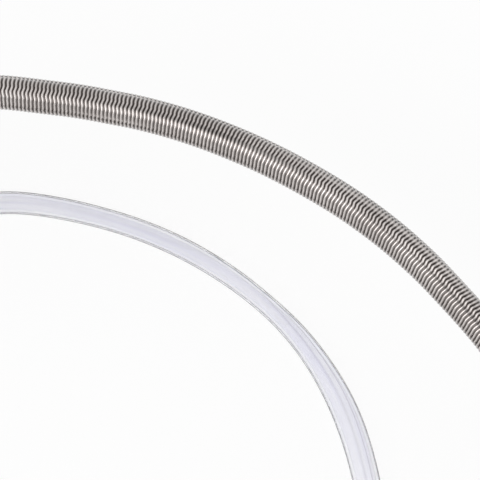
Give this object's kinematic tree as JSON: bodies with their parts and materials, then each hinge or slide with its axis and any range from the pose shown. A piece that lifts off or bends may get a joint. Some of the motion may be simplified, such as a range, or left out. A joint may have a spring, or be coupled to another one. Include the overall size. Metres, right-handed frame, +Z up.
{
  "type": "immersion wort chiller",
  "caption": "Ribbed stainless tube coil on strip spacers, with two risers that turn out over a kettle rim, union fittings and a clear hose that ends in a tap connector.",
  "frame": {"origin": "on the vertical axis of the coil, at the floor of the kettle that its strips stand on", "axes": "+Z up along the axis of the coil, +X from the axis towards the two ports that turn out over the rim of the kettle"},
  "size_m": [0.5053, 0.3802, 0.4255],
  "materials": {
    "ribbed_stainless": "satin",
    "strip_steel": "satin",
    "fastener_steel": "satin",
    "plated_brass": "satin",
    "tap_brass": "satin",
    "clamp_nylon": "matte",
    "seal_rubber": "matte",
    "clear_hose": "gloss",
    "tie_strap": "matte"
  },
  "bodies": {
    "chiller": {"coil_tube": "ribbed_stainless", "outlet_ramp": "ribbed_stainless", "inlet_riser": "ribbed_stainless", "outlet_riser": "ribbed_stainless", "inner_strip_1": "strip_steel", "inner_strip_2": "strip_steel", "inner_strip_3": "strip_steel", "inner_strip_4": "strip_steel", "outer_strip_1": "strip_steel", "outer_strip_2": "strip_steel", "outer_strip_3": "strip_steel", "outer_strip_4": "strip_steel", "strip_screw_1_low": "fastener_steel", "strip_screw_1_high": "fastener_steel", "strip_screw_2_low": "fastener_steel", "strip_screw_2_high": "fastener_steel", "strip_screw_3_low": "fastener_steel", "strip_screw_3_high": "fastener_steel", "strip_screw_4_low": "fastener_steel", "strip_screw_4_high": "fastener_steel", "strip_nut_1_low": "fastener_steel", "strip_nut_1_high": "fastener_steel", "strip_nut_2_low": "fastener_steel", "strip_nut_2_high": "fastener_steel", "strip_nut_3_low": "fastener_steel", "strip_nut_3_high": "fastener_steel", "strip_nut_4_low": "fastener_steel", "strip_nut_4_high": "fastener_steel", "riser_clamp_outer_half": "clamp_nylon", "riser_clamp_inner_half": "clamp_nylon", "riser_clamp_screw_1": "fastener_steel", "riser_clamp_screw_2": "fastener_steel", "riser_clamp_nut_1": "fastener_steel", "riser_clamp_nut_2": "fastener_steel", "inlet_retaining_ring": "fastener_steel", "inlet_gasket": "seal_rubber", "inlet_hose_barb": "plated_brass", "outlet_retaining_ring": "fastener_steel", "outlet_gasket": "seal_rubber", "outlet_hose_barb": "plated_brass", "inlet_hose_clamp": "fastener_steel", "tap_hose_clamp": "fastener_steel", "tap_connector_tail": "tap_brass", "tap_connector_washer": "seal_rubber", "hose_run": "clear_hose", "hose_coil": "clear_hose", "hose_tail": "clear_hose", "hose_tie_1": "tie_strap", "hose_tie_2": "tie_strap"},
    "inlet_union": {"inlet_union_nut": "plated_brass"},
    "outlet_union": {"outlet_union_nut": "plated_brass"},
    "tap_nut": {"tap_connector_nut": "tap_brass"},
    "inlet_worm": {"inlet_hose_clamp_screw": "fastener_steel"},
    "tap_worm": {"tap_hose_clamp_screw": "fastener_steel"}
  },
  "joints": [
    {"name": "inlet_union_turn", "type": "hinge", "parent": "chiller", "child": "inlet_union", "pos_m": [0.2209, -0.03452, 0.415], "axis": [1, 0, 0], "continuous": true},
    {"name": "outlet_union_turn", "type": "hinge", "parent": "chiller", "child": "outlet_union", "pos_m": [0.23486, 0.03629, 0.415], "axis": [1, 0, 0], "continuous": true},
    {"name": "tap_nut_swivel", "type": "hinge", "parent": "chiller", "child": "tap_nut", "pos_m": [-0.075, -0.126, 0.0153], "axis": [-1, 0, 0], "continuous": true},
    {"name": "inlet_clamp_screw_turn", "type": "hinge", "parent": "chiller", "child": "inlet_worm", "pos_m": [0.2499, -0.03452, 0.4219], "axis": [0, -1, 0], "continuous": true},
    {"name": "tap_clamp_screw_turn", "type": "hinge", "parent": "chiller", "child": "tap_worm", "pos_m": [-0.0525, -0.126, 0.0222], "axis": [0, 1, 0], "continuous": true}
  ]
}
